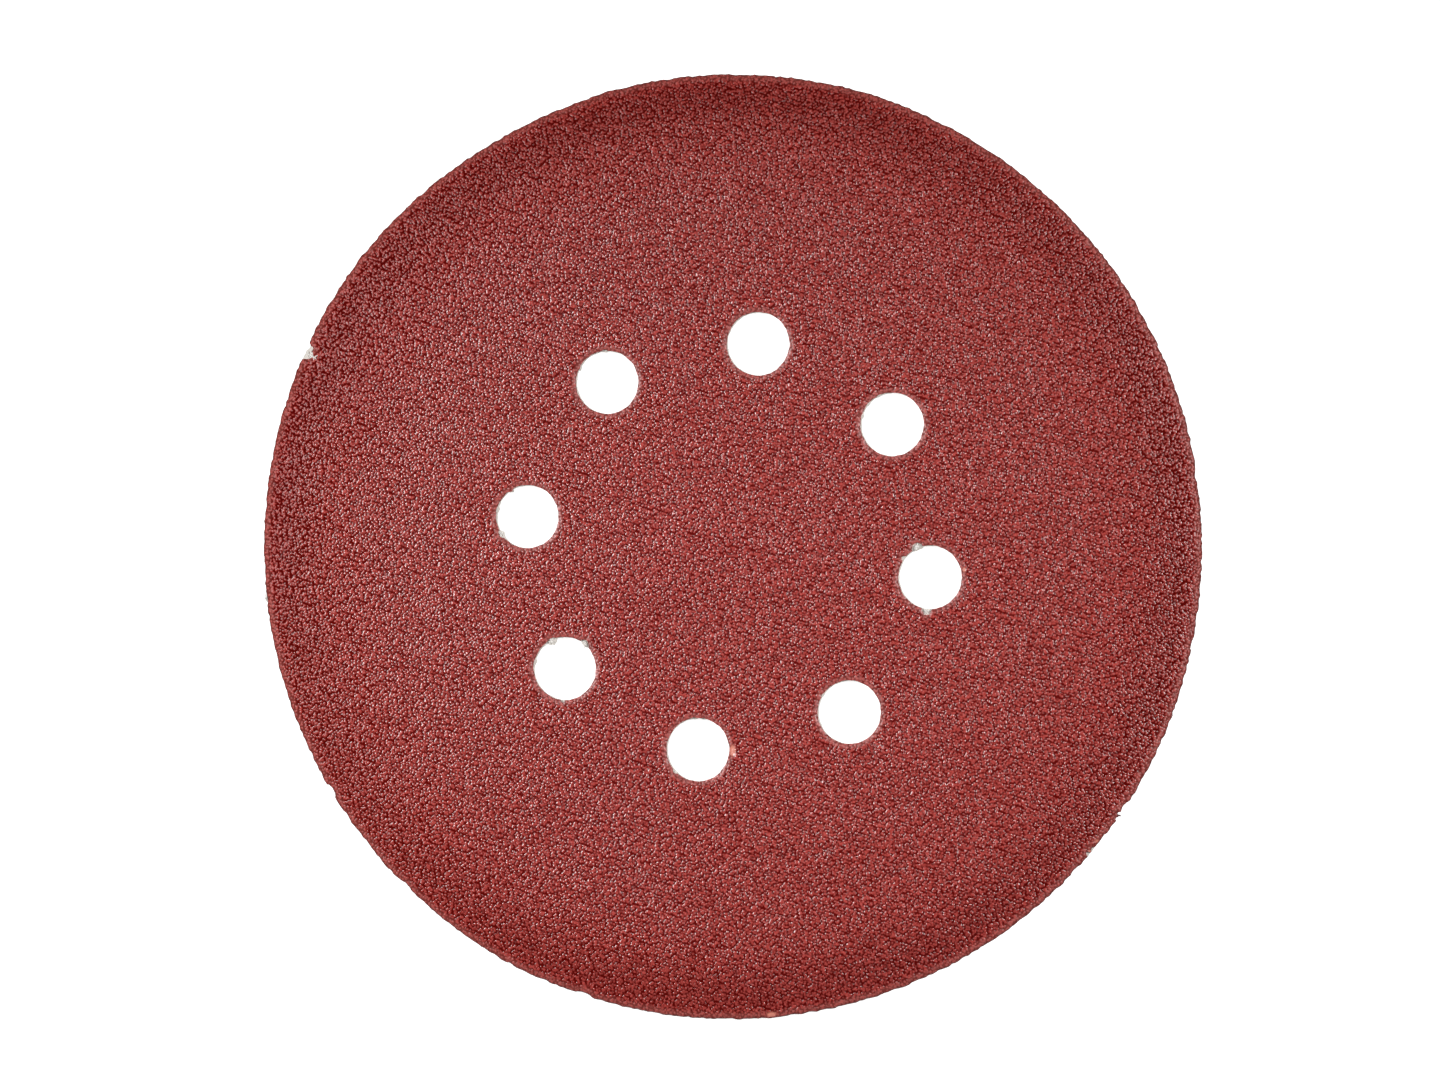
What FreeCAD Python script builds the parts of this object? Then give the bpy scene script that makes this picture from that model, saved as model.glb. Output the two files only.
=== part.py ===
import FreeCAD, Part
import math
import os

# Self-adhesive sanding disc for a 150 mm orbital sander, lying grain side up.
# One die-cut sheet: coarse red grain locked in resin on heavy paper, adhesive underneath.
# Millimetres. The origin is the middle of the disc, on the surface that the rim rests on.
# +Z points up out of the grain, +X is the photograph's right and +Y its top.

# The sheet.
DISC_DIAMETER = 150.0
BACKING_THICKNESS = 0.45
COAT_THICKNESS = 0.60

# The rim, which the cutting die turned down towards the adhesive side.
RIM_BAND = 11.0
RIM_SLOPE = 12.0
RIM_CRUSH = 0.55

# The ring of dust holes. The punch leaves a crushed ring of grain round each mouth.
HOLE_COUNT = 8
HOLE_DIAMETER = 10.0
HOLE_CIRCLE_DIAMETER = 65.0
FIRST_HOLE_ANGLE = 36.5
MOUTH_CRUSH_WIDTH = 0.8
MOUTH_CRUSH_DEPTH = 0.25

# Nicks along the cut edge: direction from the middle in degrees, width and depth.
RIM_NICKS = (
    (155.1, 1.9, 0.55),
    (211.3, 2.2, 0.45),
    (251.9, 2.6, 0.35),
    (325.7, 1.6, 0.60),
)

# Coat flaked off at the mouths of the dust holes, down to the pale backing:
# hole number, direction from that hole's middle in degrees, width, and reach from the wall.
MOUTH_CHIPS = (
    (7, 113.0, 1.8, 0.85),
    (7, 265.0, 1.5, 1.00),
    (5, 359.0, 1.7, 1.00),
    (4, 116.0, 1.6, 0.45),
    (4, 50.0, 1.5, 0.60),
    (3, 214.0, 1.3, 0.45),
)

# Coat flaked off at the cut edge, down to the pale backing: direction, width, and reach.
RIM_CHIPS = (
    (320.1, 1.8, 1.00),
    (275.3, 1.6, 1.20),
)

# How steeply the coat breaks away around a flake, as run over depth.
FLAKE_RUN = 0.5

SHEET_THICKNESS = BACKING_THICKNESS + COAT_THICKNESS
DISC_RADIUS = DISC_DIAMETER / 2
HOLE_RADIUS = HOLE_DIAMETER / 2
UP = FreeCAD.Vector(0, 0, 1)

# The rim's section follows one arc, tangent to the flat middle, about a centre below
# the sheet. END_RUN is the way from that centre, along the cut end, to the crushed corner.
SLOPE_SINE = math.sin(math.radians(RIM_SLOPE))
SLOPE_COSINE = math.cos(math.radians(RIM_SLOPE))
FLAT_RADIUS = DISC_RADIUS - RIM_BAND
END_RUN = (RIM_BAND - RIM_CRUSH * (1 - SLOPE_COSINE)) / SLOPE_SINE
CORNER_TURN = math.degrees(math.atan2(RIM_CRUSH, END_RUN))
FACE_BEND_RADIUS = math.hypot(END_RUN, RIM_CRUSH) + RIM_CRUSH
BACK_BEND_RADIUS = FACE_BEND_RADIUS - SHEET_THICKNESS
BACK_LEVEL = BACK_BEND_RADIUS * (1 - SLOPE_COSINE)
FACE_LEVEL = BACK_LEVEL + SHEET_THICKNESS
BEND_CENTRE_LEVEL = BACK_LEVEL - BACK_BEND_RADIUS


def polar(radius, degrees, level=0.0):
    """A point at a distance and direction from the Z axis."""
    turn = math.radians(degrees)
    return FreeCAD.Vector(radius * math.cos(turn), radius * math.sin(turn), level)


def bend_point(radius, degrees):
    """A point of the rim's section, at a distance and turn from the top of the bend."""
    turn = math.radians(degrees)
    return FreeCAD.Vector(
        FLAT_RADIUS + radius * math.sin(turn),
        0,
        BEND_CENTRE_LEVEL + radius * math.cos(turn),
    )


def crushed_corner():
    """The arc that rolls the grain over at the rim, from the cut end to the face."""
    middle = bend_point(FACE_BEND_RADIUS - RIM_CRUSH, RIM_SLOPE - CORNER_TURN)
    outward = math.radians((RIM_SLOPE - CORNER_TURN + RIM_SLOPE + 90) / 2)
    crest = middle + FreeCAD.Vector(math.sin(outward), 0, math.cos(outward)) * RIM_CRUSH
    end_side = bend_point(END_RUN, RIM_SLOPE)
    face_side = bend_point(FACE_BEND_RADIUS, RIM_SLOPE - CORNER_TURN)
    return end_side, crest, face_side


def hole_centre(number, level=0.0):
    """The middle of one dust hole; they are numbered counter-clockwise from 0."""
    step = 360.0 / HOLE_COUNT
    return polar(HOLE_CIRCLE_DIAMETER / 2, FIRST_HOLE_ANGLE + number * step, level)


def turned_sheet():
    """The plain disc: its section turned once about the Z axis."""
    middle_back = FreeCAD.Vector(0, 0, BACK_LEVEL)
    middle_face = FreeCAD.Vector(0, 0, FACE_LEVEL)
    back_tangent = bend_point(BACK_BEND_RADIUS, 0)
    back_halfway = bend_point(BACK_BEND_RADIUS, RIM_SLOPE / 2)
    back_end = bend_point(BACK_BEND_RADIUS, RIM_SLOPE)
    end_side, crest, face_side = crushed_corner()
    face_halfway = bend_point(FACE_BEND_RADIUS, RIM_SLOPE / 2)
    face_tangent = bend_point(FACE_BEND_RADIUS, 0)
    section = Part.Wire(
        [
            Part.makeLine(middle_back, back_tangent),
            Part.Arc(back_tangent, back_halfway, back_end).toShape(),
            Part.makeLine(back_end, end_side),
            Part.Arc(end_side, crest, face_side).toShape(),
            Part.Arc(face_side, face_halfway, face_tangent).toShape(),
            Part.makeLine(face_tangent, middle_face),
            Part.makeLine(middle_face, middle_back),
        ]
    )
    return Part.Face(section).revolve(FreeCAD.Vector(), UP, 360)


def hole_punch(number):
    """What one punch takes out: the hole, and the shallow cone that it crushes round it."""
    shank = Part.makeCylinder(HOLE_RADIUS, FACE_LEVEL * 2, hole_centre(number), UP)
    shoulder = Part.makeCone(
        HOLE_RADIUS,
        HOLE_RADIUS + MOUTH_CRUSH_WIDTH * 2,
        MOUTH_CRUSH_DEPTH * 2,
        hole_centre(number, FACE_LEVEL - MOUTH_CRUSH_DEPTH),
        UP,
    )
    return shank.fuse(shoulder)


def nick_cutter(degrees, width, depth):
    """A round-bottomed notch through the whole sheet, sunk into the cut edge."""
    radius = (width**2 / 4 + depth**2) / (2 * depth)
    start = polar(DISC_RADIUS - depth + radius, degrees)
    return Part.makeCylinder(radius, FACE_LEVEL, start, UP)


def flake_cutter(width):
    """What lifts one flake of coat: its floor is at the origin, on the backing."""
    floor_radius = width / 2 - FLAKE_RUN * COAT_THICKNESS
    mouth_radius = width / 2 + FLAKE_RUN * COAT_THICKNESS
    return Part.makeCone(floor_radius, mouth_radius, COAT_THICKNESS * 2)


def mouth_chip(number, degrees, width, reach):
    """The cutter of a flake that is missing beside a dust hole."""
    cutter = flake_cutter(width)
    floor_level = FACE_LEVEL - COAT_THICKNESS
    from_hole = polar(HOLE_RADIUS + reach - width / 2, degrees, floor_level)
    cutter.translate(hole_centre(number) + from_hole)
    return cutter


def rim_chip(degrees, width, reach):
    """The cutter of a flake that is missing at the cut edge, square to the sloped rim."""
    cutter = flake_cutter(width)
    inset = math.degrees((reach - width / 2) / FACE_BEND_RADIUS)
    turn = RIM_SLOPE - inset
    cutter.rotate(FreeCAD.Vector(), FreeCAD.Vector(0, 1, 0), turn)
    cutter.translate(bend_point(FACE_BEND_RADIUS - COAT_THICKNESS, turn))
    cutter.rotate(FreeCAD.Vector(), UP, degrees)
    return cutter


cutters = [hole_punch(number) for number in range(HOLE_COUNT)]
cutters += [nick_cutter(*nick) for nick in RIM_NICKS]
cutters += [mouth_chip(*chip) for chip in MOUTH_CHIPS]
cutters += [rim_chip(*chip) for chip in RIM_CHIPS]
sanding_disc = turned_sheet().cut(cutters)

os.makedirs("parts", exist_ok=True)
sanding_disc.exportStep("parts/sanding_disc.step")
print("valid", sanding_disc.isValid(), "solids", len(sanding_disc.Solids))
print("levels: back", round(BACK_LEVEL, 3), "face", round(FACE_LEVEL, 3))
print("volume mm3", round(sanding_disc.Volume, 1), "bend radius", round(FACE_BEND_RADIUS, 2))
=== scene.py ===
import math

import bpy
import numpy as np
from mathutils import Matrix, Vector
from mathutils.geometry import delaunay_2d_cdt


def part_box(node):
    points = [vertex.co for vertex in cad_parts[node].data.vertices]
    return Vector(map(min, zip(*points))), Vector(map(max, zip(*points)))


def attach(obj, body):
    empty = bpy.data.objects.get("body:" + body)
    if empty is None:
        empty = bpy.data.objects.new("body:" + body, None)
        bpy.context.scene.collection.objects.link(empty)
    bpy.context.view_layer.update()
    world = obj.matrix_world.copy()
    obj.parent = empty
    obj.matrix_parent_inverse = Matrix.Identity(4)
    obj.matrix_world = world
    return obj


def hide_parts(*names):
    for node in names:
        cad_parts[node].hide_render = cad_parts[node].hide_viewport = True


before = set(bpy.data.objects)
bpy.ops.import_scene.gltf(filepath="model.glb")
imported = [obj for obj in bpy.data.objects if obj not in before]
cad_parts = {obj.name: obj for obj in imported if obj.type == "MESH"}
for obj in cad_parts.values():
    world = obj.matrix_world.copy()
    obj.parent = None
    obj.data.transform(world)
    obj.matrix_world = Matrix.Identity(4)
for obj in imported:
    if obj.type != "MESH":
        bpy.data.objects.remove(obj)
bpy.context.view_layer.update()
_, disc_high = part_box("sanding_disc")

# ---------------------------------------------------------------------------
# The photographer's table.
# The disc lies on a plain white sheet, between two large soft lamps at its left and right.
# The camera looks straight down at it, leaning 7.1 degrees towards the disc's right.

PHOTO_WIDTH, PHOTO_HEIGHT = 1440, 1080
PIXELS_PER_METRE = 6314.8
DISC_MIDDLE_PIXEL = (727.58, 546.75)
SENSOR_WIDTH = 36
CAMERA_DISTANCE = 1.0
CAMERA_LEAN = math.radians(7.1)

camera = bpy.data.objects.new("camera", bpy.data.cameras.new("camera"))
bpy.context.scene.collection.objects.link(camera)
bpy.context.scene.camera = camera
camera.rotation_euler = (0, CAMERA_LEAN, 0)
camera.location = (
    CAMERA_DISTANCE * math.sin(CAMERA_LEAN),
    0,
    disc_high[2] + CAMERA_DISTANCE * math.cos(CAMERA_LEAN),
)
camera.data.sensor_width = SENSOR_WIDTH
camera.data.lens = SENSOR_WIDTH * CAMERA_DISTANCE * PIXELS_PER_METRE / PHOTO_WIDTH
camera.data.shift_x = (PHOTO_WIDTH / 2 - DISC_MIDDLE_PIXEL[0]) / PHOTO_WIDTH
camera.data.shift_y = (DISC_MIDDLE_PIXEL[1] - PHOTO_HEIGHT / 2) / PHOTO_WIDTH
camera.data.clip_start, camera.data.clip_end = 0.01, 50

bpy.context.scene.view_settings.view_transform = "Standard"

SOFTBOX_SIZE = 0.22
SOFTBOX_SPREAD = math.radians(54)
SOFTBOX_AIM = (-0.004, -0.03, 0)


def soft_lamp(name, place, power):
    """A square softbox with a grid over it, which faces the disc."""
    lamp = bpy.data.objects.new(name, bpy.data.lights.new(name, "AREA"))
    lamp.data.shape, lamp.data.size, lamp.data.energy = "SQUARE", SOFTBOX_SIZE, power
    lamp.data.spread = SOFTBOX_SPREAD
    lamp.location = place
    lamp.visible_camera = False
    aim = Vector(SOFTBOX_AIM) - Vector(place)
    lamp.rotation_euler = aim.to_track_quat("-Z", "Y").to_euler()
    bpy.context.scene.collection.objects.link(lamp)


soft_lamp("softbox_left", (-0.33, 0.06, 0.36), 0.203)
soft_lamp("softbox_right", (0.31, 0.06, 0.36), 0.182)


class Shade:
    """A shader socket that takes part in sums; what it meets becomes Math nodes."""

    def __init__(self, tree, socket=None):
        self.tree, self.socket = tree, socket

    def node(self, kind, settings=None, sockets=None, output=0):
        """Adds any node: its settings first, then the values or links of its sockets."""
        made = self.tree.nodes.new(kind)
        for name, value in (settings or {}).items():
            setattr(made, name, value)
        for name, value in (sockets or {}).items():
            if isinstance(value, Shade):
                self.tree.links.new(value.socket, made.inputs[name])
            else:
                made.inputs[name].default_value = value
        return Shade(self.tree, made.outputs[output] if made.outputs else None)

    def sum(self, operation, first, second):
        """A Math node that works on two values."""
        return self.node("ShaderNodeMath", {"operation": operation}, {0: first, 1: second})

    def __add__(self, other):
        return self.sum("ADD", self, other)

    def __sub__(self, other):
        return self.sum("SUBTRACT", self, other)

    def __rsub__(self, other):
        return self.sum("SUBTRACT", other, self)

    def __mul__(self, other):
        return self.sum("MULTIPLY", self, other)

    __radd__, __rmul__ = __add__, __mul__

    def between(self, low, high):
        """0 below low, 1 above high, with a soft step from one to the other."""
        settings = {"interpolation_type": "SMOOTHSTEP"}
        return self.node("ShaderNodeMapRange", settings, {0: self, 1: low, 2: high})

    def blend(self, first, second):
        """The first colour where this value is 0, and the second where it is 1."""
        first, second = [c if isinstance(c, Shade) else (*c, 1) for c in (first, second)]
        settings = {"data_type": "RGBA", "clamp_factor": True}
        return self.node("ShaderNodeMix", settings, {0: self, 6: first, 7: second}, 2)

    def times(self, colour):
        """A colour darkened or lightened by this value."""
        settings = {"operation": "SCALE"}
        return self.node("ShaderNodeVectorMath", settings, {0: colour, "Scale": self})

    def mottle(self, size_mm, detail=2.0, roughness=0.5, at=None):
        """Cloudy noise from 0 to 1 with blots of about this size on the real thing."""
        place = at or self.node("ShaderNodeTexCoord", output=3)
        sockets = {"Vector": place, "Scale": 1000 / size_mm}
        sockets |= {"Detail": detail, "Roughness": roughness}
        return self.node("ShaderNodeTexNoise", None, sockets)

    def mark(self, name):
        """A value that the piece's mesh carries at each vertex."""
        return self.node("ShaderNodeAttribute", {"attribute_name": name}, None, 2)


def new_finish(name):
    """A material with nodes and only its output: the Shade to build it with."""
    material = bpy.data.materials.new(name)
    material.use_nodes = True
    material.node_tree.nodes.clear()
    return material, Shade(material.node_tree)


def lay_finish(shade, surface):
    """Joins the finished surface to its material's output."""
    shade.node("ShaderNodeOutputMaterial", None, {"Surface": surface})


# The camera sees the sheet brighter than it lights the disc, as pure white.
SHEET_GLOW = 0.8
ROOM_STRENGTH = 0.06

white_sheet, shade = new_finish("white_table_sheet")
sheet_roughness = shade.mottle(40) * 0.1 + 0.75
sheet_surface = shade.node(
    "ShaderNodeBsdfPrincipled",
    None,
    {"Base Color": (0.86, 0.86, 0.86, 1), "Roughness": sheet_roughness},
)
lit_sheet = shade.node(
    "ShaderNodeAddShader",
    None,
    {
        0: sheet_surface,
        1: shade.node(
            "ShaderNodeEmission", None, {"Color": (1, 1, 1, 1), "Strength": SHEET_GLOW}
        ),
    },
)
seen_directly = shade.node("ShaderNodeLightPath")
lay_finish(
    shade,
    shade.node(
        "ShaderNodeMixShader", None, {0: seen_directly, 1: sheet_surface, 2: lit_sheet}
    ),
)

SHEET_REACH = 4.0
table_mesh = bpy.data.meshes.new("white_table_sheet")
corners = ((-1, -1), (1, -1), (1, 1), (-1, 1))
corners = [(x * SHEET_REACH, y * SHEET_REACH, 0) for x, y in corners]
table_mesh.from_pydata(corners, [], [(0, 1, 2, 3)])
table_mesh.materials.append(white_sheet)
table = bpy.data.objects.new("white_table_sheet", table_mesh)
bpy.context.scene.collection.objects.link(table)

world = bpy.data.worlds.new("white_studio")
bpy.context.scene.world = world
world.use_nodes = True
world.node_tree.nodes.clear()
shade = Shade(world.node_tree)
white = {"Color": (1, 1, 1, 1)}
room_light = shade.node("ShaderNodeBackground", None, white | {"Strength": ROOM_STRENGTH})
room_white = shade.node("ShaderNodeBackground", None, white | {"Strength": 1.0})
seen_directly = shade.node("ShaderNodeLightPath")
shade.node(
    "ShaderNodeOutputWorld",
    None,
    {
        "Surface": shade.node(
            "ShaderNodeMixShader", None, {0: seen_directly, 1: room_light, 2: room_white}
        )
    },
)

# ---------------------------------------------------------------------------
# The paper backing.
# Heavy cream paper, 0.45 mm thick, die-cut with its grain. It carries the coat on one side
# and the adhesive on the other, and the die turned its rim down over the last 11 mm.

MM = 0.001
DISC_RADIUS = disc_high[0] / MM
FACE_LEVEL = disc_high[2] / MM
PAPER_THICKNESS = 0.45
COAT_THICKNESS = 0.60
RIM_BAND = 11.0
RIM_SLOPE = math.radians(12)
HOLE_COUNT = 8
HOLE_RADIUS = 5.0
HOLE_CIRCLE_RADIUS = 32.5
FIRST_HOLE_ANGLE = 36.5

# The section of the rim follows one arc, whose centre lies below the sheet.
FLAT_RADIUS = DISC_RADIUS - RIM_BAND
BACK_LEVEL = FACE_LEVEL - PAPER_THICKNESS - COAT_THICKNESS
BACK_BEND = BACK_LEVEL / (1 - math.cos(RIM_SLOPE))

# The cut edge isn't a true circle: lobes round the disc, height and direction of each.
# At the left, right, top and bottom they are held back, to stay inside the disc's box.
NOMINAL_RADIUS = 75.0
OUTLINE_LOBES = (
    (2, 0.065, 8),
    (4, 0.124, -18),
    (5, 0.059, 13),
    (6, 0.054, -30),
    (7, 0.047, -11),
)
LOBE_LIMIT = 74.92
LOBE_ROOM_BETWEEN = 0.14
BOX_LIMIT = 74.99

# The roughness of the cut edge: height, knots round the disc, and seed. Round a hole the
# paper's edge has its own, and so have the tears that stand into the hole.
OUTLINE_ROUGHNESS = ((0.12, 800, 1), (0.06, 360, 2))
PAPER_MOUTH_ROUGHNESS, PAPER_MOUTH_KNOTS = 0.05, 60
TEAR_ROUGHNESS, TEAR_KNOTS = 0.35, 140
PAPER_MOUTH_SEED, TEAR_SEED = 10, 30
PAPER_MOUTH_INSET = 0.02

# Nicks in the cut edge: direction in degrees, width and depth. They bite out full curves.
BITE_POWER = 0.7
RIM_NICKS = (
    (154.7, 1.1, 0.30),
    (211.3, 2.2, 0.45),
    (226.2, 1.8, 0.30),
    (251.9, 2.6, 0.35),
    (326.7, 2.8, 0.30),
    (325.8, 0.7, 0.42),
    (325.2, 0.5, 0.25),
    (8.7, 1.8, 0.25),
)

# Where the coat has crumbled at a dust hole: hole number, direction from its middle, width,
# how far the coat has gone back from the wall, and how far torn paper stands into the hole.
MOUTH_MARKS = (
    (7, 113.3, 1.80, 0.86, 0.24),
    (7, 264.6, 1.50, 0.98, 0.02),
    (7, 143.9, 0.70, 0.45, 0.00),
    (5, 96.4, 0.90, 0.12, 0.14),
    (5, 80.3, 0.70, 0.12, 0.14),
    (5, 224.3, 0.80, 0.30, 0.05),
    (4, 116.3, 1.70, 0.23, 0.84),
    (4, 167.0, 0.90, 0.05, 0.28),
    (4, 50.4, 1.50, 0.62, 0.36),
    (4, 266.7, 0.70, 0.50, 0.02),
    (3, 166.9, 0.90, 0.10, 0.25),
    (3, 213.6, 1.30, 0.42, 0.38),
    (3, 123.1, 0.90, -0.30, 0.44),
    (0, 115.0, 0.80, 0.08, 0.16),
    (0, 139.8, 0.90, 0.08, 0.18),
    (0, 164.9, 0.80, 0.08, 0.14),
    (6, 148.3, 0.70, 0.15, 0.06),
    (2, 95.1, 1.10, 0.14, 0.16),
    (2, 153.6, 0.80, -0.15, 0.26),
)

# The punch leaned a little, so the paper's wall shows on the left of each hole.
PUNCH_LEAN = (0.10, -0.04)


def ragged(degrees, knots, seed):
    """Rough unevenness round a closed edge, from -1 to 1, with this many knots."""
    heights = np.random.default_rng(seed).uniform(-1, 1, knots)
    turn = np.mod(degrees, 360) / 360 * knots
    return np.interp(turn, np.arange(knots + 1), np.append(heights, heights[0]))


def bite(degrees, middle, width, radius):
    """1 at the middle of a mark on a round edge, falling to 0 at its two ends."""
    away = np.mod(degrees - middle + 180, 360) - 180
    across = np.radians(away) * radius / (width / 2)
    return np.clip(1 - across**2, 0, None) ** BITE_POWER


def outline_radius(degrees):
    """How far the cut edge is from the disc's middle."""
    turn = np.radians(degrees)
    radius = np.full(np.shape(degrees), NOMINAL_RADIUS)
    for lobes, height, phase in OUTLINE_LOBES:
        radius = radius + height * np.cos(lobes * (turn - math.radians(phase)))
    radius = np.minimum(radius, LOBE_LIMIT + LOBE_ROOM_BETWEEN * (1 - np.cos(4 * turn)))
    for height, knots, seed in OUTLINE_ROUGHNESS:
        radius = radius + height * ragged(degrees, knots, seed)
    to_box = np.maximum(np.abs(np.cos(turn)), np.abs(np.sin(turn)))
    radius = np.minimum(radius, BOX_LIMIT / to_box)
    for middle, width, depth in RIM_NICKS:
        radius = radius - depth * bite(degrees, middle, width, DISC_RADIUS)
    return radius


def hole_middle(number):
    """The middle of one dust hole; they are numbered counter-clockwise from 0."""
    turn = math.radians(FIRST_HOLE_ANGLE + number * 360 / HOLE_COUNT)
    return np.array((math.cos(turn), math.sin(turn))) * HOLE_CIRCLE_RADIUS


def paper_hole_radius(number, degrees):
    """How far the paper's edge is from the middle of its dust hole."""
    rough = ragged(degrees, PAPER_MOUTH_KNOTS, PAPER_MOUTH_SEED + number)
    radius = HOLE_RADIUS - PAPER_MOUTH_INSET + PAPER_MOUTH_ROUGHNESS * rough
    for hole, middle, width, _, stands_in in MOUTH_MARKS:
        if hole == number:
            torn = 1 + TEAR_ROUGHNESS * ragged(degrees, TEAR_KNOTS, TEAR_SEED + number)
            radius = radius - stands_in * torn * bite(degrees, middle, width, HOLE_RADIUS)
    return radius


def sheet_level(radius, above_back):
    """The height over the table of a layer of the sheet, turned down at the rim."""
    bend = BACK_BEND + above_back
    out = np.clip(radius - FLAT_RADIUS, 0, None)
    return BACK_LEVEL - BACK_BEND + np.sqrt(bend**2 - out**2)


def round_edge(middle, radii):
    """A closed loop of points about a middle, its radii at equal steps of direction."""
    turn = np.radians(np.arange(len(radii)) * 360 / len(radii))
    return middle + np.stack([np.cos(turn), np.sin(turn)], 1) * radii[:, None]


def within(points, starts, ends):
    """Which points lie inside the closed edges, by counting the edges to their right."""
    crossings = np.zeros(len(points), int)
    at_once = 2000
    for low in range(0, len(points), at_once):
        some = slice(low, low + at_once)
        x, y = points[some, :1], points[some, 1:]
        straddles = (starts[:, 1] > y) != (ends[:, 1] > y)
        rise = np.where(ends[:, 1] == starts[:, 1], 1, ends[:, 1] - starts[:, 1])
        meets = starts[:, 0] + (y - starts[:, 1]) / rise * (ends[:, 0] - starts[:, 0])
        crossings[some] = (straddles & (meets > x)).sum(1)
    return crossings % 2 == 1


def filled(points, edges):
    """Triangles, counter-clockwise, that fill the closed edges and use every point."""
    corners = [Vector(point) for point in points]
    same_point = 1e-7
    made = delaunay_2d_cdt(corners, edges.tolist(), [], 0, same_point)
    faces = np.array(made[2])
    source = np.array([kept[0] for kept in made[3]])
    faces = source[faces]
    middles = points[faces].mean(1)
    return faces[within(middles, points[edges[:, 0]], points[edges[:, 1]])]


def spaced_inside(step):
    """Points this far apart over the disc, clear of its cut edges and holes."""
    span = np.arange(-DISC_RADIUS, DISC_RADIUS, step)
    points = np.stack(np.meshgrid(span, span), -1).reshape(-1, 2)
    clear = np.hypot(*points.T) < DISC_RADIUS - step / 2
    for number in range(HOLE_COUNT):
        clear &= np.hypot(*(points - hole_middle(number)).T) > HOLE_RADIUS + step / 2
    return points[clear]


def new_piece(name, corners_mm, faces, finishes):
    """A mesh of triangles at the given corners, in millimetres."""
    mesh = bpy.data.meshes.new(name)
    mesh.vertices.add(len(corners_mm))
    mesh.vertices.foreach_set("co", (corners_mm * MM).astype(np.float32).ravel())
    mesh.loops.add(faces.size)
    mesh.loops.foreach_set("vertex_index", faces.astype(np.int32).ravel())
    mesh.polygons.add(len(faces))
    mesh.polygons.foreach_set("loop_start", np.arange(0, faces.size, 3, dtype=np.int32))
    mesh.update(calc_edges=True)
    for finish in finishes:
        mesh.materials.append(finish)
    piece = bpy.data.objects.new(name, mesh)
    bpy.context.scene.collection.objects.link(piece)
    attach(piece, "root")
    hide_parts("sanding_disc")
    return piece


heavy_paper, shade = new_finish("heavy_cream_paper")
fibres = shade.mottle(0.35, 4, 0.7)
blots = shade.mottle(6, 2)
cream = (fibres * 0.7 + blots * 0.3).blend((0.88, 0.81, 0.72), (0.97, 0.94, 0.89))
sockets = {"Strength": 0.6, "Distance": 0.0001, "Height": fibres}
felt = shade.node("ShaderNodeBump", None, sockets)
lay_finish(
    shade,
    shade.node(
        "ShaderNodeBsdfPrincipled",
        None,
        {"Base Color": cream, "Roughness": blots * 0.15 + 0.75, "Normal": felt},
    ),
)

adhesive_side, shade = new_finish("adhesive_side_of_the_paper")
fibres = shade.mottle(0.5, 4, 0.65)
spread = shade.mottle(9, 3, 0.6)
place = shade.node("ShaderNodeTexCoord", output=3)
drawn_out = shade.node("ShaderNodeMapping", None, {0: place, "Scale": (0.08, 1, 1)})
streaks = shade.mottle(1.2, 2, 0.5, drawn_out)
tacky = (spread * 0.6 + streaks * 0.4).between(0.35, 0.65)
honey = (fibres * 0.5 + tacky * 0.5).blend((0.60, 0.49, 0.33), (0.74, 0.64, 0.47))
sockets = {"Strength": 0.35, "Distance": 0.0001, "Height": streaks * 0.6 + fibres * 0.4}
uneven = shade.node("ShaderNodeBump", None, sockets)
lay_finish(
    shade,
    shade.node(
        "ShaderNodeBsdfPrincipled",
        None,
        {
            "Base Color": honey,
            "Roughness": 0.5 - tacky * 0.18,
            "Coat Weight": tacky * 0.45 + 0.25,
            "Coat Roughness": 0.22,
            "Normal": uneven,
        },
    ),
)

# The paper's edge lies a hair inside the grain's, and its under edge a little further in.
OUTLINE_STEPS, MOUTH_STEPS = 2400, 168
PAPER_INSET, UNDER_TUCK = 0.06, 0.09
PAPER_MESH_STEP = 1.6

every_way = np.arange(OUTLINE_STEPS) * 360 / OUTLINE_STEPS
loops = [round_edge(np.zeros(2), outline_radius(every_way) - PAPER_INSET)]
every_way = np.arange(MOUTH_STEPS) * 360 / MOUTH_STEPS
for number in range(HOLE_COUNT):
    middle = hole_middle(number) + PUNCH_LEAN
    loops.append(round_edge(middle, paper_hole_radius(number, every_way)))

edges, count = [], 0
for loop in loops:
    steps = np.arange(len(loop))
    edges.append(np.stack([steps, (steps + 1) % len(loop)], 1) + count)
    count += len(loop)
edges = np.concatenate(edges)
flat_points = np.concatenate([*loops, spaced_inside(PAPER_MESH_STEP)])
sheet_faces = filled(flat_points, edges)

radius = np.hypot(*flat_points.T)
on_outline = np.arange(len(flat_points)) < OUTLINE_STEPS
tucked = flat_points * np.where(on_outline, 1 - UNDER_TUCK / DISC_RADIUS, 1)[:, None]
top = np.column_stack([flat_points, sheet_level(radius, PAPER_THICKNESS)])
under = np.column_stack([tucked, np.clip(sheet_level(radius, 0), 0, None)])
below = len(flat_points)
starts, ends = edges.T
outer = np.arange(len(edges)) < OUTLINE_STEPS
starts, ends = np.where(outer, ends, starts), np.where(outer, starts, ends)
wall = np.concatenate(
    [
        np.stack([starts, ends, ends + below], 1),
        np.stack([starts, ends + below, starts + below], 1),
    ]
)
paper = new_piece(
    "paper_backing",
    np.concatenate([top, under]),
    np.concatenate([sheet_faces, wall, sheet_faces[:, ::-1] + below]),
    [heavy_paper, adhesive_side],
)
slots = np.zeros(len(paper.data.polygons), np.int32)
slots[-len(sheet_faces) :] = 1
paper.data.polygons.foreach_set("material_index", slots)

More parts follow.
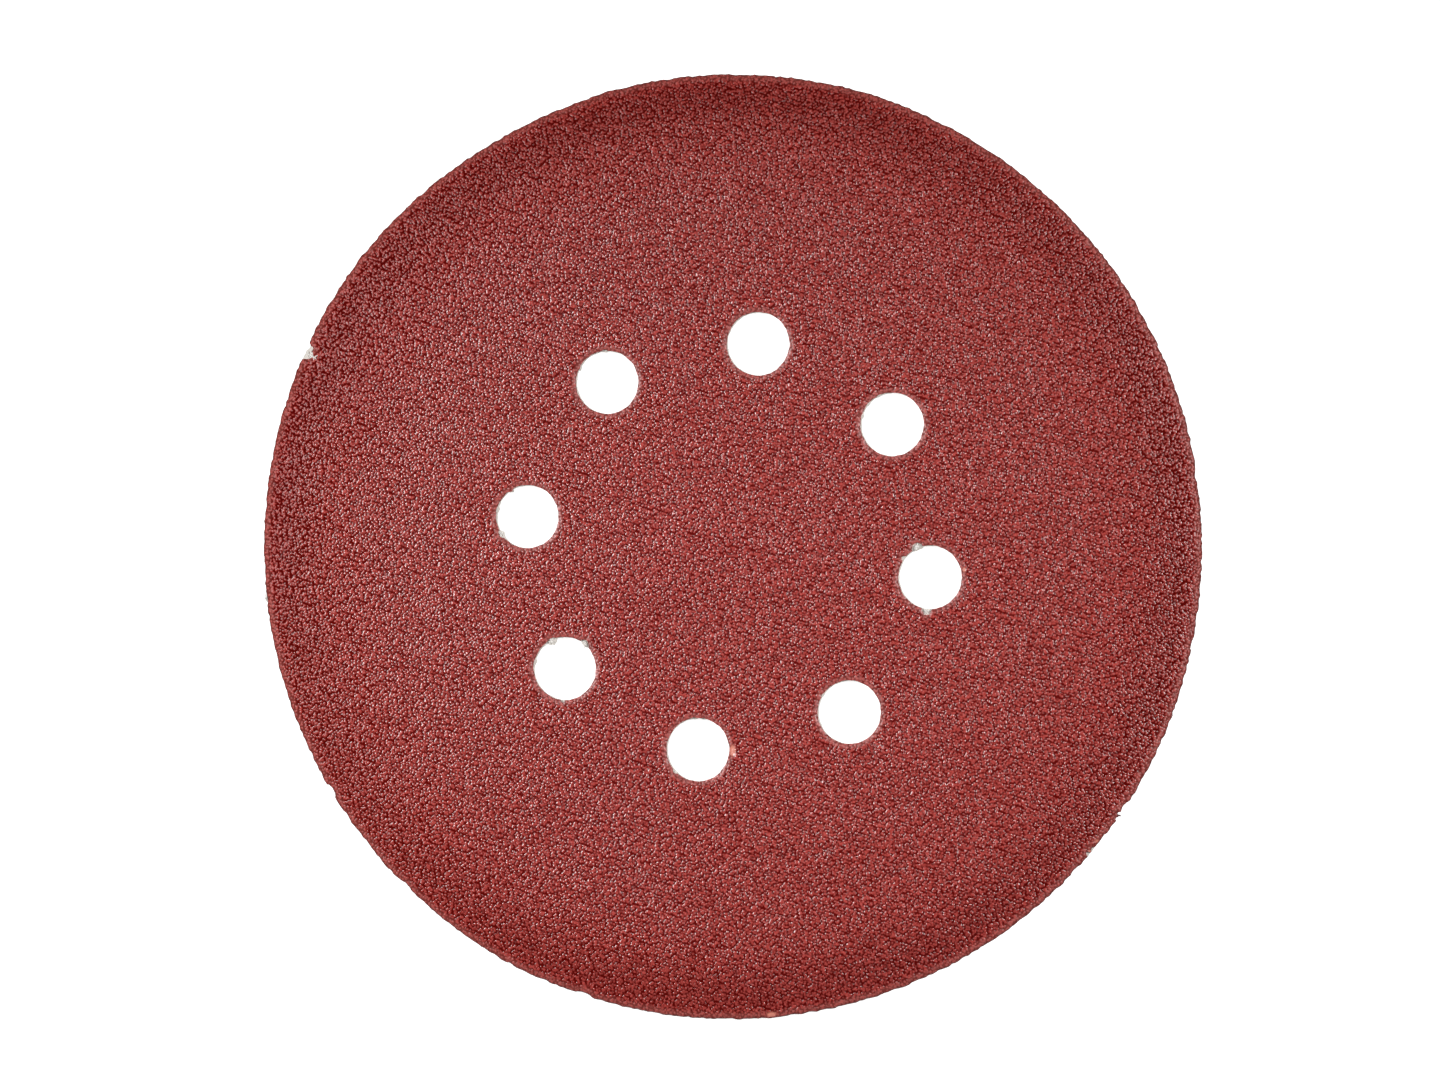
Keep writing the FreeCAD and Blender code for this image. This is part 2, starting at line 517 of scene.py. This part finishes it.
# ---------------------------------------------------------------------------
# The grain coat.
# Coarse aluminium-oxide grain, shaken onto the wet bond coat and locked in red resin. The
# resin rounds the crystals into a web of ridges and pits; at the cut edges it is crushed.

# The mesh is a lattice of triangles with this side, cut into strips from bottom to top.
LATTICE = 0.21
ROW_STEP = LATTICE * math.sqrt(0.75)
STRIPS = 5

# Grains stand in staggered rows, turned 20 degrees, each a little off its own place. Each
# has its own size, squatness, height and lean, and resin fills the bed between them.
GRAIN_PITCH = 0.495
ROW_SHARE = 0.88
ROW_TURN = ((0.94, 0.342), (-0.342, 0.94))
GRAIN_SCATTER = 0.27
GRAIN_HALF, GRAIN_HALF_SPREAD = 0.258, 0.022
GRAIN_SQUAT, GRAIN_SQUAT_SPREAD = 0.85, 0.08
GRAIN_TOP, GRAIN_TOP_SPREAD = -0.02, 0.007
GRAIN_LEAN = 0.08
GRAIN_DOME = 0.084
GRAIN_SEED = 40
SPARE_ROWS = 12
BED_DEPTH = 0.14
RESIN_SHARPNESS = 75

# Along the cut edges the coat is crushed, and a flattened lip runs a little further in.
RIM_CRUSH = 0.55
MOUTH_CRUSH_WIDTH = 0.8
MOUTH_CRUSH_DEPTH = 0.25
CRUSH_SHARE_AT_RIM, CRUSH_SHARE_AT_MOUTH = 0.85, 0.6
RIM_LIP, RIM_LIP_FADE = 1.3, 0.7
MOUTH_LIP, MOUTH_LIP_FADE = 0.95, 0.5
LIP_FLATNESS = 0.3
LEAST_COAT = 0.05

# The bend opens the grain round the rim, more to the right, and closes it at the left.
OPENED_ALL_ROUND, OPENED_TO_THE_RIGHT, OPENED_REACH = 0.05, 0.2, 9

# The roughness of the coat's edge round a hole, and where a flake is missing at the rim.
MOUTH_ROUGHNESS, MOUTH_KNOTS, MOUTH_SEED = 0.06, 54, 50
MOUTH_INSET = 0.02
CHIP_ROUGHNESS, CHIP_KNOTS, CHIP_SEED = 0.35, 1500, 5
CHIP_SHARE = 0.85

# Flakes of coat that are missing at the cut edge: direction, width and reach.
RIM_CHIPS = ((155.4, 2.4, 1.50), (320.5, 0.8, 0.50), (319.7, 0.6, 0.60))

# Places where the grain has gone but its resin is left: x, y, half length, half width
# and turn. The flat hollow that is left lies this far below the tips.
SCAR_DEPTH = 0.15
SCAR_FLATNESS = 0.7
SCAR_STEEPNESS = 1.6
SCARS = (
    (*(hole_middle(5) + (5.60, -0.14)), 1.05, 0.55, 90),
    (*(hole_middle(7) + (5.41, 1.21)), 0.42, 0.32, 90),
    (*(hole_middle(4) + (3.4, 3.9)), 0.40, 0.25, 40),
    (6.86, -74.05, 0.85, 0.42, 5),
    (58.4, -46.3, 0.35, 0.22, 50),
    (57.3, -47.9, 0.30, 0.20, 20),
)


def mouth_radius(number, degrees):
    """How far the coat's edge is from the middle of its dust hole."""
    rough = ragged(degrees, MOUTH_KNOTS, MOUTH_SEED + number)
    radius = HOLE_RADIUS + MOUTH_INSET + MOUTH_ROUGHNESS * rough
    for hole, middle, width, gone_back, _ in MOUTH_MARKS:
        if hole == number:
            radius = radius + gone_back * bite(degrees, middle, width, HOLE_RADIUS)
    return radius


def coat_edge(degrees):
    """How far the coat reaches from the disc's middle."""
    radius = outline_radius(degrees)
    for middle, width, reach in RIM_CHIPS:
        torn = CHIP_SHARE + CHIP_ROUGHNESS * ragged(degrees, CHIP_KNOTS, CHIP_SEED)
        radius = radius - reach * torn * bite(degrees, middle, width, DISC_RADIUS)
    return radius


def way_to_edge(points):
    """Distance into the coat from its nearest cut edge, and that edge's nearest point."""
    reach = np.hypot(*points.T)
    edge = coat_edge(np.degrees(np.arctan2(points[:, 1], points[:, 0])))
    inside = edge - reach
    nearest = points * (edge / np.maximum(reach, 1e-9))[:, None]
    for number in range(HOLE_COUNT):
        middle = hole_middle(number)
        near = np.flatnonzero(np.hypot(*(points - middle).T) < HOLE_RADIUS * 2)
        away = points[near] - middle
        reach = np.hypot(*away.T)
        edge = mouth_radius(number, np.degrees(np.arctan2(away[:, 1], away[:, 0])))
        inside[near] = reach - edge
        nearest[near] = middle + away * (edge / np.maximum(reach, 1e-9))[:, None]
    return inside, nearest


def grain_relief(points):
    """The depth of the coat's surface below its highest tips, at each point.

    Each grain is a squarish dome. Their exponentials are added up, which takes the
    highest grain at each point and rounds the creases between them as resin does.
    """
    across = int(2 * DISC_RADIUS / GRAIN_PITCH / ROW_SHARE) + SPARE_ROWS
    draw = np.random.default_rng(GRAIN_SEED).uniform(-1, 1, (8, across, across))
    turned = points @ np.array(ROW_TURN) / GRAIN_PITCH / (1, ROW_SHARE)
    cell = np.floor(turned).astype(int)
    crowd = np.zeros(len(points))
    for step_x in (-1, 0, 1):
        for step_y in (-1, 0, 1):
            column, row = cell[:, 0] + step_x, cell[:, 1] + step_y
            drawn = draw[:, row + across // 2, column + across // 2]
            jitter_x, jitter_y, size, turn, squat, lean_x, lean_y, sunk = drawn
            shift = 0.25 + row % 2 * 0.5
            away_x = turned[:, 0] - column - shift - GRAIN_SCATTER * jitter_x
            away_y = turned[:, 1] - row - 0.5 - GRAIN_SCATTER * jitter_y
            away_x, away_y = away_x * GRAIN_PITCH, away_y * GRAIN_PITCH * ROW_SHARE
            long = away_x * np.cos(turn * np.pi) + away_y * np.sin(turn * np.pi)
            short = away_y * np.cos(turn * np.pi) - away_x * np.sin(turn * np.pi)
            half = GRAIN_HALF + GRAIN_HALF_SPREAD * size
            short = short / (GRAIN_SQUAT + GRAIN_SQUAT_SPREAD * squat)
            spread = (np.abs(long / half) ** 2.5 + np.abs(short / half) ** 2.5) ** 0.8
            top = GRAIN_TOP - GRAIN_TOP_SPREAD * sunk
            top = top + GRAIN_LEAN * (lean_x * away_x + lean_y * away_y)
            crowd += np.exp(RESIN_SHARPNESS * (top - GRAIN_DOME * spread))
    crowd += np.exp(RESIN_SHARPNESS * -BED_DEPTH)
    return -np.log(crowd) / RESIN_SHARPNESS


rows = int(DISC_RADIUS / ROW_STEP) + 1
columns = int(DISC_RADIUS / LATTICE) + 1
column, row = np.meshgrid(np.arange(-columns, columns + 1), np.arange(-rows, rows + 1))
lattice = np.stack([(column + row % 2 / 2) * LATTICE, row * ROW_STEP], -1).reshape(-1, 2)
inside, nearest = way_to_edge(lattice)
snapped = np.abs(inside) < LATTICE / 2
outside = (inside < 0) & ~snapped
lattice = np.where(snapped[:, None], nearest, lattice)

width = 2 * columns + 1
here = (np.arange(2 * rows)[:, None] * width + np.arange(width - 1)).ravel()
beside, above, across = here + 1, here + width, here + 1 + width
odd = (here // width - rows) % 2 == 1
lower = np.stack([here, beside, np.where(odd, across, above)], 1)
upper = np.stack([np.where(odd, here, beside), across, above], 1)
coat_faces = np.concatenate([lower, upper])
coat_faces = coat_faces[~outside[coat_faces].any(1) & ~snapped[coat_faces].all(1)]
used, renumbered = np.unique(coat_faces, return_inverse=True)
coat_faces = renumbered.reshape(-1, 3)
lattice = lattice[used]


def coat_level(points):
    """The coat's height over the table at each point, and what its finish depends on."""
    radius = np.hypot(*points.T)
    rim_way = coat_edge(np.degrees(np.arctan2(points[:, 1], points[:, 0]))) - radius
    hole_way = np.full(len(points), np.inf)
    for number in range(HOLE_COUNT):
        away = points - hole_middle(number)
        edge = mouth_radius(number, np.degrees(np.arctan2(away[:, 1], away[:, 0])))
        hole_way = np.minimum(hole_way, np.hypot(*away.T) - edge)
    rim_crush = np.clip(1 - rim_way / RIM_CRUSH, 0, 1)
    mouth_crush = np.clip(1 - hole_way / MOUTH_CRUSH_WIDTH, 0, 1)
    rim_lip = (RIM_LIP - rim_way) / RIM_LIP_FADE
    mouth_lip = (MOUTH_LIP - hole_way) / MOUTH_LIP_FADE
    lip = np.clip(np.maximum(rim_lip, mouth_lip), 0, 1)
    scar = np.zeros(len(points))
    for x, y, half_long, half_wide, turn in SCARS:
        away_x, away_y = points[:, 0] - x, points[:, 1] - y
        turn = math.radians(turn)
        long = (away_x * math.cos(turn) + away_y * math.sin(turn)) / half_long
        short = (away_y * math.cos(turn) - away_x * math.sin(turn)) / half_wide
        here = SCAR_STEEPNESS - SCAR_STEEPNESS * (long**2 + short**2)
        scar = np.maximum(scar, np.clip(here, 0, 1))
    depth = grain_relief(points)
    opened = OPENED_ALL_ROUND + OPENED_TO_THE_RIGHT * points[:, 0] / DISC_RADIUS
    opened = 1 + opened * np.exp(-((rim_way / OPENED_REACH) ** 2))
    sunk = depth * opened * (1 - LIP_FLATNESS * lip) * (1 - SCAR_FLATNESS * scar)
    sunk = sunk + SCAR_DEPTH * scar
    sunk = sunk + RIM_CRUSH * (1 - np.sqrt(1 - (CRUSH_SHARE_AT_RIM * rim_crush) ** 2))
    sunk = sunk + CRUSH_SHARE_AT_MOUTH * MOUTH_CRUSH_DEPTH * mouth_crush**2
    sunk = np.clip(sunk, 0, COAT_THICKNESS - LEAST_COAT)
    face = sheet_level(radius, PAPER_THICKNESS + COAT_THICKNESS)
    return face - sunk, depth, rim_way, lip, scar


level, depth, rim_way, lip, scar = coat_level(lattice)
surface = np.column_stack([lattice, level])

# The normals come from the slope of the relief itself, taken over this reach.
SLOPE_REACH = 0.1
STEEPEST = 2
slopes = [
    (coat_level(lattice - way)[0] - coat_level(lattice + way)[0]) / (2 * SLOPE_REACH)
    for way in (np.array((SLOPE_REACH, 0)), np.array((0, SLOPE_REACH)))
]
slopes = np.clip(slopes, -STEEPEST, STEEPEST)
normals = np.column_stack([slopes.T, np.ones(len(lattice))])
normals /= np.linalg.norm(normals, axis=1)[:, None]

red_coat, shade = new_finish("red_resin_over_coarse_grain")
pit = shade.mark("pit")
scar_mark = shade.mark("scar")
lip_mark = shade.mark("lip")
painted_edge_shadow = shade.mark("painted_edge_shadow")
painted_rim_shade = shade.mark("painted_rim_shade")
rim_dull = shade.mark("rim_dull")
crystal = shade.mottle(0.34, 3, 0.65)
patches = shade.mottle(5.0, 3, 0.6)
cells = shade.node(
    "ShaderNodeTexVoronoi",
    {"feature": "F1"},
    {"Vector": shade.node("ShaderNodeTexCoord", output=3), "Scale": 1000 / 0.40},
)
# Tip colour wanders at random between two tones; its light end is partly painted sheen.
tips = (crystal * 0.9 + patches * 0.1).between(0.2, 0.8)
tips = tips.blend((0.41, 0.036, 0.028), (0.66, 0.095, 0.080))
# The creases go dark red: partly the resin pooled thick there, partly painted shade.
body = (pit * 0.8 + cells * 0.4).between(0.28, 0.80).blend(tips, (0.125, 0.003, 0.002))
body = (lip_mark * (crystal * 0.6)).blend(body, (0.44, 0.13, 0.11))
body = scar_mark.blend(body, (0.74, 0.26, 0.19))
# Painted shadow: a dark line along the coat's outermost cut edge.
body = (painted_edge_shadow * 0.75).blend(body, (0.09, 0.045, 0.042))
# Painted shade: the rim band is darkened, deepest a little way in from the cut edge.
body = (1 - painted_rim_shade).times(body)
glaze = crystal * 0.12 + 0.155 + lip_mark * 0.2
facets = shade.node(
    "ShaderNodeBump",
    None,
    {"Strength": 1.0, "Distance": 0.00003, "Height": crystal * 0.3 - cells},
)
glossy_tips = shade.node(
    "ShaderNodeBsdfPrincipled",
    None,
    {"Base Color": body, "Roughness": glaze, "IOR": 1.85, "Normal": facets},
)
matt_creases = shade.node(
    "ShaderNodeBsdfPrincipled",
    None,
    {"Base Color": body, "Roughness": 1.0, "Specular IOR Level": 0.0, "Normal": facets},
)
lay_finish(
    shade,
    shade.node(
        "ShaderNodeMixShader",
        None,
        {0: pit.between(0.40, 0.75) * 0.9 + rim_dull, 1: glossy_tips, 2: matt_creases},
    ),
)

# A thin painted shadow darkens the coat along its cut edge. Round the rim the resin is
# dull, and a painted shade darkens it, by shares that change with the direction: side is 1
# at the disc's right, and up is 1 at its top.
PAINTED_EDGE_SHADOW_WIDTH = 0.2
RIM_DULLNESS = 0.75
PAINTED_SHADE_DEEPEST_IN = 3.2
PAINTED_SHADE_REACH_OUT, PAINTED_SHADE_REACH_IN = 2.0, 5.5

side, up = lattice.T / DISC_RADIUS
dull_share = 0.62 - 0.25 * side + 0.20 * side**4 + 0.32 * up - 0.20 * up**2
painted_shade_share = 0.13 + 0.01 * side + 0.08 * side**4 + 0.045 * up + 0.07 * up**2
painted_shade_share = painted_shade_share - 0.06 * side * up
from_painted_shade_deepest = rim_way - PAINTED_SHADE_DEEPEST_IN
painted_shade_reach = np.where(from_painted_shade_deepest < 0, PAINTED_SHADE_REACH_OUT, PAINTED_SHADE_REACH_IN)
marks = {
    "pit": np.clip(depth / BED_DEPTH, 0, 1),
    "scar": scar,
    "lip": lip,
    "painted_edge_shadow": np.clip(1 - rim_way / PAINTED_EDGE_SHADOW_WIDTH, 0, 1),
    "rim_dull": RIM_DULLNESS * dull_share * np.exp(-((rim_way / RIM_BAND) ** 2)),
    "painted_rim_shade": painted_shade_share * np.exp(-((from_painted_shade_deepest / painted_shade_reach) ** 2)),
}
face_rows = surface[coat_faces, 1].mean(1)
cuts = np.quantile(face_rows, np.arange(1, STRIPS) / STRIPS)
cuts = np.round(cuts / ROW_STEP) * ROW_STEP
strip_of = np.searchsorted(cuts, face_rows)

# The coat's base lies a little way into the paper, so that no gap shows between them.
BASE_MESH_STEP = 2.2
COAT_SUNK = 0.04

# On each strip's map the base lies lowest, then the walls, and over them the grain side
# in two halves, its left half below its right.
MAP_BASE_TALL = 0.03
MAP_WALL_LOW, MAP_WALL_HIGH = 0.035, 0.055
MAP_GRAIN_LOW, MAP_HALF_TALL = 0.06, 0.47
MAP_SPARE_MM = 0.5

for strip in range(STRIPS):
    faces = coat_faces[strip_of == strip]
    used, renumbered = np.unique(faces, return_inverse=True)
    faces = renumbered.reshape(-1, 3)
    top = surface[used]
    sides = np.concatenate([faces[:, [0, 1]], faces[:, [1, 2]], faces[:, [2, 0]]])
    there = sides[:, 0] * len(used) + sides[:, 1]
    back = sides[:, 1] * len(used) + sides[:, 0]
    rim = sides[~np.isin(there, back)]
    foot_of = np.full(len(used), -1)
    on_rim = np.unique(rim)
    foot_of[on_rim] = np.arange(len(on_rim))
    foot = foot_of[rim]
    spread = spaced_inside(BASE_MESH_STEP)
    low_y = top[:, 1].min() + BASE_MESH_STEP / 2
    high_y = top[:, 1].max() - BASE_MESH_STEP / 2
    spread = spread[(spread[:, 1] > low_y) & (spread[:, 1] < high_y)]
    base_points = np.concatenate([top[on_rim, :2], spread])
    base_faces = filled(base_points, foot)
    base_level = sheet_level(np.hypot(*base_points.T), PAPER_THICKNESS - COAT_SUNK)
    base = np.column_stack([base_points, base_level])
    foot = foot + len(used)
    wall = np.concatenate(
        [
            np.stack([rim[:, 1], rim[:, 0], foot[:, 0]], 1),
            np.stack([rim[:, 1], foot[:, 0], foot[:, 1]], 1),
        ]
    )
    corners = np.concatenate([top, base])
    every_face = np.concatenate([faces, wall, base_faces[:, ::-1] + len(used)])
    coat = new_piece(f"grain_coat_{strip + 1}", corners, every_face, [red_coat])
    mesh = coat.data
    for name, values in marks.items():
        layer = mesh.attributes.new(name, "FLOAT", "POINT")
        foot_values = values[used][on_rim]
        base_values = np.concatenate([foot_values, np.zeros(len(spread))])
        every_value = np.concatenate([values[used], base_values]).astype(np.float32)
        layer.data.foreach_set("value", every_value)
    smooth = np.arange(len(every_face)) < len(faces)
    mesh.polygons.foreach_set("use_smooth", smooth)
    loop_normals = np.zeros((every_face.size, 3))
    loop_normals[: faces.size] = normals[used][faces.ravel()]
    mesh.normals_split_custom_set(loop_normals.tolist())
    low_y, tall = top[:, 1].min(), np.ptp(top[:, 1])
    x, y = top[faces, 0], (top[faces, 1] - low_y) / tall
    chord = np.sqrt((DISC_RADIUS + MAP_SPARE_MM) ** 2 - top[faces, 1] ** 2)
    right = (x.mean(1) > 0)[:, None]
    across, upward = np.clip(x / chord + ~right, 0, 1), y + right
    grain_map = np.stack([across, MAP_GRAIN_LOW + MAP_HALF_TALL * upward], -1)
    start, end = np.stack([np.arange(len(rim)), np.arange(len(rim)) + 1]) / len(rim)
    high, low = np.full(len(rim), MAP_WALL_HIGH), np.full(len(rim), MAP_WALL_LOW)
    wall_map = np.concatenate(
        [
            np.stack([end, high, start, high, start, low], -1),
            np.stack([end, high, start, low, end, low], -1),
        ]
    ).reshape(-1, 3, 2)
    x, y = base_points[:, 0] / DISC_RADIUS, (base_points[:, 1] - low_y) / tall
    base_map = np.stack([0.5 + 0.5 * x, MAP_BASE_TALL * y], -1)[base_faces[:, ::-1]]
    whole_map = np.concatenate([grain_map, wall_map, base_map])
    layer = mesh.uv_layers.new(name="OFBake")
    layer.uv.foreach_set("vector", whole_map.astype(np.float32).ravel())

# ---------------------------------------------------------------------------
# The torn paper.
# Where the sheet has been knocked, the paper under the grain has come apart into pale
# threads. They stand in the nick at the upper left and at the mouths of four dust holes,
# and one curl sticks out of the rim at the left.

# Tufts: middle of the round edge, direction, distance, length of a thread, how far the tuft
# goes across the edge, scatter in degrees, outward bow, number, half thickness, lift.
TUFTS = (
    ((0, 0), 155.5, 73.80, 0.90, 1.5, 65, 0.10, 26, 0.075, 0.46),
    ((0, 0), 186.25, 74.62, 1.7, 0.06, 3, 0.74, 12, 0.055, -0.10),
    (hole_middle(7), 113.3, 5.20, 0.8, 0.7, 60, 0.03, 12, 0.05, 0.36),
    (hole_middle(7), 264.6, 5.40, 0.6, 0.6, 60, 0.03, 10, 0.05, 0.36),
    (hole_middle(5), 224.3, 5.10, 0.4, 0.3, 60, 0.03, 4, 0.035, 0.25),
    (hole_middle(4), 116.3, 4.80, 0.8, 0.7, 60, 0.05, 12, 0.05, 0.30),
    (hole_middle(4), 50.4, 5.05, 0.6, 0.6, 60, 0.03, 10, 0.05, 0.30),
    (hole_middle(3), 213.6, 5.00, 0.6, 0.5, 60, 0.03, 8, 0.045, 0.30),
)


KNOBBLINESS = 0.25


def thread(places, half_thick, sides, seed):
    """A closed, knobbly thread through these places: its corners and its triangles."""
    heading = np.gradient(places, axis=0)
    heading /= np.linalg.norm(heading, axis=1)[:, None]
    aside = np.cross(heading, (0.1, 0.2, 1.0))
    aside /= np.linalg.norm(aside, axis=1)[:, None]
    over = np.cross(aside, heading)
    turn = np.arange(sides)[None, :, None] * 2 * np.pi / sides
    draw = np.random.default_rng(seed).uniform(-1, 1, (len(places), sides, 1))
    uneven = 1 + KNOBBLINESS * draw
    ring = aside[:, None] * np.cos(turn) + over[:, None] * np.sin(turn)
    ring = places[:, None] + ring * uneven * half_thick[:, None, None]
    corners = np.concatenate([ring.reshape(-1, 3), places[:1], places[-1:]])
    step, side = np.divmod(np.arange((len(places) - 1) * sides), sides)
    here, beside = step * sides + side, step * sides + (side + 1) % sides
    first, beside_first = here[:sides], beside[:sides]
    to_last = sides * (len(places) - 1)
    last, beside_last = first + to_last, beside_first + to_last
    foot, head = np.full(sides, len(corners) - 2), np.full(sides, len(corners) - 1)
    faces = [
        np.stack([here, here + sides, beside + sides], 1),
        np.stack([here, beside + sides, beside], 1),
        np.stack([foot, first, beside_first], 1),
        np.stack([head, beside_last, last], 1),
    ]
    return corners, np.concatenate(faces)


def joined(parts):
    """Several bodies' corners and triangles as those of one mesh."""
    starts = np.cumsum([0] + [len(corners) for corners, _ in parts])
    faces = [faces + start for (_, faces), start in zip(parts, starts)]
    return np.concatenate([corners for corners, _ in parts]), np.concatenate(faces)


torn_paper, shade = new_finish("torn_paper")
fluff = shade.mottle(0.2, 3, 0.6)
pale = fluff.between(0.25, 0.55).blend((0.62, 0.58, 0.54), (0.97, 0.95, 0.91))
sockets = {"Base Color": pale, "Roughness": fluff * 0.1 + 0.8}
lay_finish(shade, shade.node("ShaderNodeBsdfPrincipled", None, sockets))

# Threads taper to their ends. In a narrow tuft they lie side by side, and in a wide one
# each is shifted along its own way.
THREAD_SIDES, THREAD_PLACES = 6, 8
THREAD_TIP = 0.3
THREAD_RISE, THREAD_ARCH = 0.08, 0.10
TUFT_SEED, THREAD_SEED = 70, 900

threads = []
along = np.linspace(0, 1, THREAD_PLACES)
arch = np.sin(np.pi * along)
for tuft, (middle, direction, distance, *form) in enumerate(TUFTS):
    length, reach, scatter, bow, count, half_thick, lift = form
    draw = np.random.default_rng(TUFT_SEED + tuft).uniform(-1, 1, (count, 5))
    for number, (shift, offset, swing, rise, tilt) in enumerate(draw):
        turn = math.radians(direction)
        out = np.array((math.cos(turn), math.sin(turn)))
        turn += math.pi / 2 + math.radians(scatter) * swing
        onward = np.array((math.cos(turn), math.sin(turn)))
        start = middle + out * (distance + reach / 2 * offset)
        start = start + onward * length * (0.5 * shift * min(reach * 4, 1) - 0.5)
        line = start + onward * length * along[:, None]
        line = line + out * (bow * (number + 1) / count) * arch[:, None]
        above = PAPER_THICKNESS + lift + THREAD_RISE * rise
        level = sheet_level(np.hypot(*line.T), above) + THREAD_ARCH * tilt * arch
        girth = half_thick * (THREAD_TIP + (1 - THREAD_TIP) * arch)
        line = np.column_stack([line, level])
        threads.append(thread(line, girth, THREAD_SIDES, THREAD_SEED + len(threads)))
fibres = new_piece("torn_paper_fibres", *joined(threads), [torn_paper])
fibres.data.polygons.foreach_set("use_smooth", np.ones(len(fibres.data.polygons), bool))

# ---------------------------------------------------------------------------
# The loose crumbs.
# Bits that lie between the grains or hang on the rim: two beads of clear red resin, a
# white chip of another grain, and a dark sliver of coat in the notch at the lower right.

# Crumbs: x, y, half length, half thickness, turn, and finish. All swell and taper alike,
# and lie this far below the tips of the grain.
CRUMBS = (
    (57.0, -26.83, 0.30, 0.12, 30, 0),
    (-43.3, -43.4, 0.26, 0.12, 100, 0),
    (52.48, 35.93, 0.26, 0.12, 70, 1),
    (61.70, -42.26, 0.56, 0.17, -12, 2),
)
CRUMB_SUNK = 0.03
CRUMB_SIDES = 7
CRUMB_SEED = 500
CRUMB_GIRTH = np.array((0.35, 0.75, 0.95, 1.0, 0.9, 0.7, 0.3))

crumb_finishes = []
for name, dark, light, roughness in (
    ("clear_red_resin", (0.42, 0.004, 0.012), (0.60, 0.010, 0.020), 0.25),
    ("white_grain", (0.66, 0.60, 0.56), (0.86, 0.82, 0.78), 0.4),
    ("dark_sliver_of_coat", (0.07, 0.022, 0.02), (0.16, 0.06, 0.055), 0.6),
):
    finish, shade = new_finish(name)
    cloud = shade.mottle(0.25, 3, 0.6)
    sockets = {"Base Color": cloud.blend(dark, light)}
    sockets |= {"Roughness": cloud * 0.15 + roughness}
    lay_finish(shade, shade.node("ShaderNodeBsdfPrincipled", None, sockets))
    crumb_finishes.append(finish)

bodies = []
for x, y, half_long, half_thick, turn, _ in CRUMBS:
    onward = np.array((math.cos(math.radians(turn)), math.sin(math.radians(turn))))
    along = np.linspace(-1, 1, len(CRUMB_GIRTH))
    line = np.array((x, y)) + onward * half_long * along[:, None]
    face = sheet_level(math.hypot(x, y), PAPER_THICKNESS + COAT_THICKNESS)
    level = face - CRUMB_SUNK - half_thick * 1.2
    line = np.column_stack([line, np.full(len(along), level)])
    girth = half_thick * CRUMB_GIRTH
    bodies.append(thread(line, girth, CRUMB_SIDES, CRUMB_SEED + len(bodies)))
crumbs = new_piece("loose_crumbs", *joined(bodies), crumb_finishes)
slots = np.repeat([finish for *_, finish in CRUMBS], [len(faces) for _, faces in bodies])
crumbs.data.polygons.foreach_set("material_index", slots.astype(np.int32))
